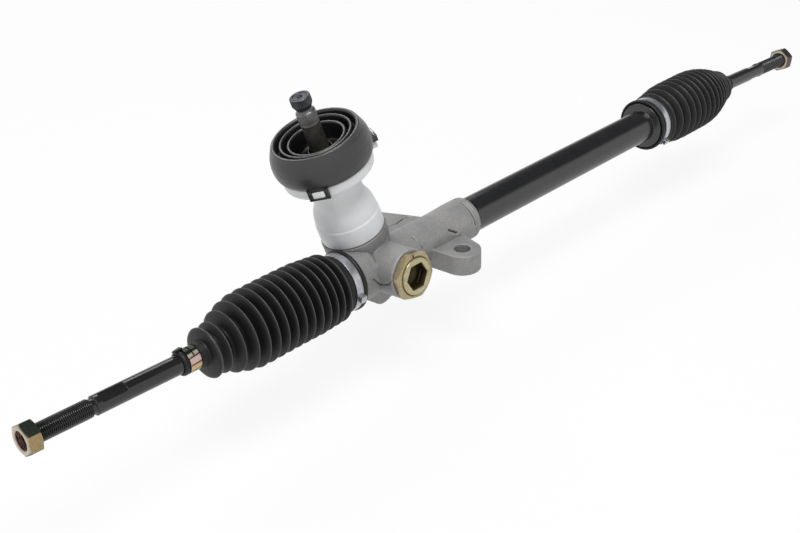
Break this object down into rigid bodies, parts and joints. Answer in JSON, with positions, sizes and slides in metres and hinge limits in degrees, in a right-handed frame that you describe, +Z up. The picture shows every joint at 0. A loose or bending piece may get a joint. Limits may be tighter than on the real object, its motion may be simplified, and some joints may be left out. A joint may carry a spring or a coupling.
{
  "type": "rack and pinion steering gear",
  "caption": "Manual steering gear: a pinion shaft drives a toothed rack in a cast and tube housing, with ball-jointed tie rods, bellows boots, a bulkhead seal and mounting ears.",
  "frame": {"origin": "on the rack's axis at the middle of its travel, inside the bare steel tube where the car's clamp holds it", "axes": "+X along the rack towards the plain tube end, -Y towards the support yoke's plug, +Z up along the mounting bolts; the pinion shaft leans towards -X"},
  "size_m": [1.0005, 0.1217, 0.1952],
  "materials": {
    "cast_aluminium": "satin",
    "black_tube": "satin",
    "bush_plastic": "satin",
    "ground_steel": "polished",
    "shaft_steel": "satin",
    "bearing_steel": "polished",
    "spring_steel": "satin",
    "seal_rubber": "matte",
    "yoke_aluminium": "satin",
    "yellow_zinc": "satin",
    "cover_plastic": "satin",
    "dark_steel": "satin",
    "black_rod": "satin",
    "boot_rubber": "matte",
    "clamp_steel": "polished"
  },
  "bodies": {
    "housing": {"pinion_housing": "cast_aluminium", "rack_tube": "black_tube", "rack_bush": "bush_plastic", "needle_shell": "bearing_steel", "needle_rollers": "bearing_steel", "bearing_outer_race": "bearing_steel", "bearing_balls": "bearing_steel", "retaining_ring": "spring_steel", "shaft_seal": "seal_rubber", "support_yoke": "yoke_aluminium", "yoke_liner": "bush_plastic", "yoke_o_ring": "seal_rubber", "yoke_spring": "spring_steel", "yoke_plug": "yellow_zinc", "yoke_lock_nut": "yellow_zinc", "pinion_cover": "cover_plastic", "dash_seal": "seal_rubber", "boot_left": "boot_rubber", "boot_right": "boot_rubber", "boot_clamp_left": "clamp_steel", "boot_clamp_right": "clamp_steel", "stop_ring_left": "seal_rubber", "stop_ring_right": "seal_rubber"},
    "rack": {"rack_bar": "ground_steel", "ball_socket_left": "dark_steel", "ball_socket_right": "dark_steel", "lock_washer_left": "bearing_steel", "lock_washer_right": "bearing_steel"},
    "pinion": {"pinion_shaft": "shaft_steel", "bearing_inner_race": "bearing_steel"},
    "seat_left": {"ball_seat_left": "bush_plastic"},
    "rod_left": {"tie_rod_left": "black_rod", "boot_clip_left": "yellow_zinc"},
    "nut_left": {"jam_nut_left": "yellow_zinc"},
    "seat_right": {"ball_seat_right": "bush_plastic"},
    "rod_right": {"tie_rod_right": "black_rod", "boot_clip_right": "yellow_zinc"},
    "nut_right": {"jam_nut_right": "yellow_zinc"}
  },
  "joints": [
    {"name": "rack_travel", "type": "slide", "parent": "housing", "child": "rack", "axis": [1, 0, 0], "range_m": [-0.056, 0.056], "deforming": ["boot_left", "boot_right"]},
    {"name": "pinion_turn", "type": "hinge", "parent": "housing", "child": "pinion", "pos_m": [-0.1665, 0.01524, -0.0016], "axis": [-0.284, 0.1002, 0.9536], "range_deg": [-455.3, 455.3]},
    {"name": "ball_yaw_left", "type": "hinge", "parent": "rack", "child": "seat_left", "pos_m": [-0.304, 0, 0], "axis": [0, 0, 1], "range_deg": [-18, 18]},
    {"name": "ball_pitch_left", "type": "hinge", "parent": "seat_left", "child": "rod_left", "pos_m": [-0.304, 0, 0], "axis": [0, 1, 0], "range_deg": [-18, 18]},
    {"name": "jam_nut_spin_left", "type": "hinge", "parent": "rod_left", "child": "nut_left", "pos_m": [-0.49417, 0, 0.00564], "axis": [-0.9996, 0, 0.0297], "continuous": true},
    {"name": "ball_yaw_right", "type": "hinge", "parent": "rack", "child": "seat_right", "pos_m": [0.304, 0, 0], "axis": [0, 0, 1], "range_deg": [-18, 18]},
    {"name": "ball_pitch_right", "type": "hinge", "parent": "seat_right", "child": "rod_right", "pos_m": [0.304, 0, 0], "axis": [0, 1, 0], "range_deg": [-18, 18]},
    {"name": "jam_nut_spin_right", "type": "hinge", "parent": "rod_right", "child": "nut_right", "pos_m": [0.49407, 0, -0.0083], "axis": [0.999, 0, -0.0436], "continuous": true}
  ],
  "couplings": [
    {"joint": "pinion_turn", "follows": "rack_travel", "rad_per_m": 141.29}
  ]
}
